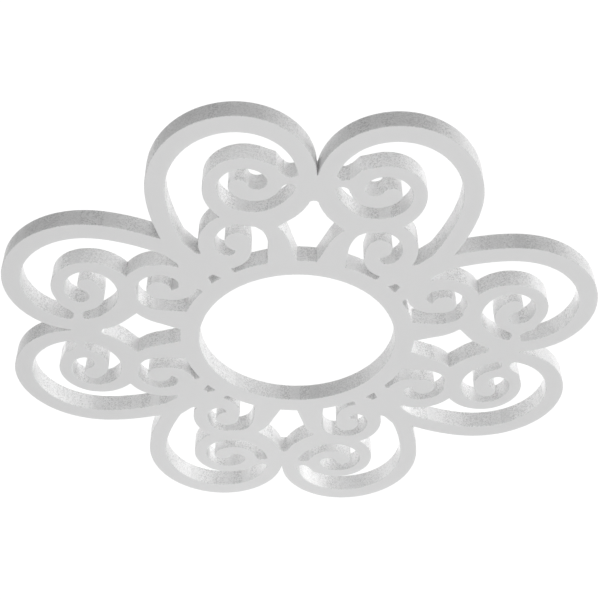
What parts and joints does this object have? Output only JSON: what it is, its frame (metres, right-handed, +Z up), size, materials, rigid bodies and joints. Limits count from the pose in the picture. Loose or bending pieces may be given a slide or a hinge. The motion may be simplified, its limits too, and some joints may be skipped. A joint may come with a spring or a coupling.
{
  "type": "ceiling rose",
  "caption": "Flat pierced ceiling rose of mirrored scroll lobes around a round opening, fixed face down on a ceiling around a light or a fan.",
  "frame": {"origin": "middle of the round opening at the plate's back face, the plane that lies on the ceiling", "axes": "+Z up, out of the back and into the ceiling; the face looks down along -Z; the lobes point along +X, +Y, -X and -Y"},
  "size_m": [0.762, 0.762, 0.0254],
  "materials": {
    "white_board": "satin"
  },
  "bodies": {
    "root": {"ceiling_rose": "white_board"}
  },
  "joints": []
}
